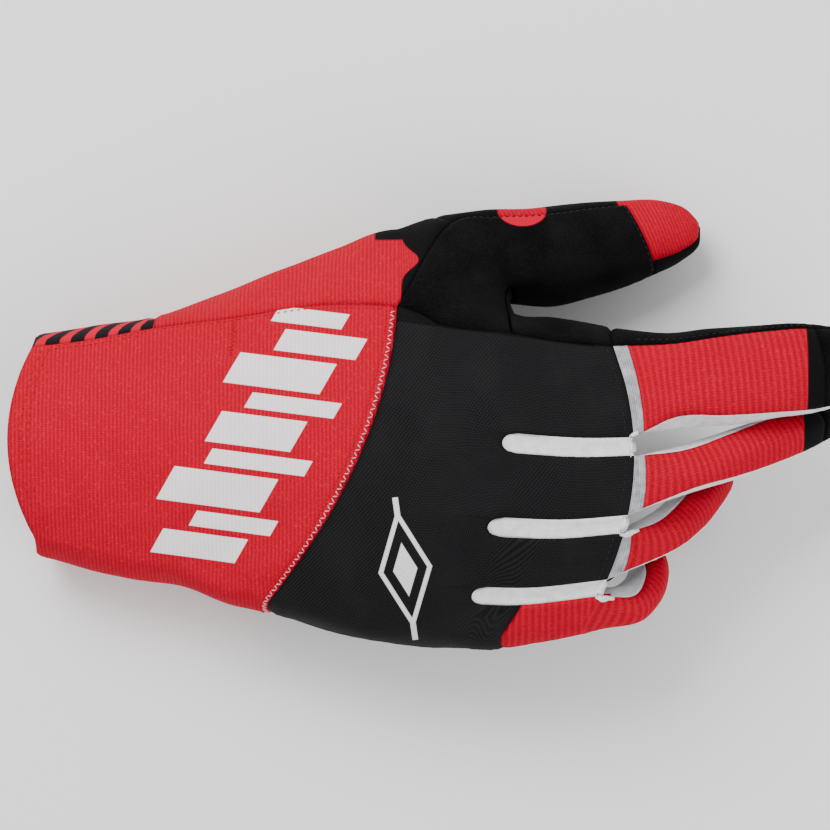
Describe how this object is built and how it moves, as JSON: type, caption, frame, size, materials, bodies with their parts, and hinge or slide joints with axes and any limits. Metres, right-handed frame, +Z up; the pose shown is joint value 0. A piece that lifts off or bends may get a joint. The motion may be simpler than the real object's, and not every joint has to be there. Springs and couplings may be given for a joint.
{
  "type": "motocross glove",
  "caption": "Right-hand off-road riding glove lying palm down: knit cuff and finger backs, stretch back panel, suede palm, white finger gussets, curled fingers.",
  "frame": {"origin": "centre of the glove's bounding box, at the table it lies on", "axes": "+X from the cuff to the fingertips, +Y to the thumb side, +Z up from the table through the back of the hand"},
  "size_m": [0.2482, 0.1322, 0.0676],
  "materials": {
    "red_knit": "ribbed knit, matt",
    "black_stretch": "woven stretch cloth, matt",
    "black_suede": "synthetic suede, matt",
    "white_gusset": "stretch cloth, matt",
    "striped_grip": "black cloth with red stripes, matt"
  },
  "bodies": {
    "root": {"back_panel": "black_stretch", "crotch_guard": "black_suede", "cuff_back": "red_knit", "cuff_palm": "striped_grip", "finger_back_index": "red_knit", "finger_back_little": "red_knit", "finger_back_middle": "red_knit", "finger_back_ring": "red_knit", "fingertip_index": "black_suede", "fingertip_middle": "black_suede", "gusset_index": "white_gusset", "gusset_middle": "white_gusset", "gusset_ring": "white_gusset", "index_side": "black_suede", "insert_index": "white_gusset", "insert_middle": "white_gusset", "insert_ring": "white_gusset", "little_side_gusset": "white_gusset", "palm": "black_suede", "thumb_back": "red_knit", "thumb_palm": "black_suede", "thumb_side": "red_knit", "thumb_wrap": "black_suede"}
  },
  "joints": []
}
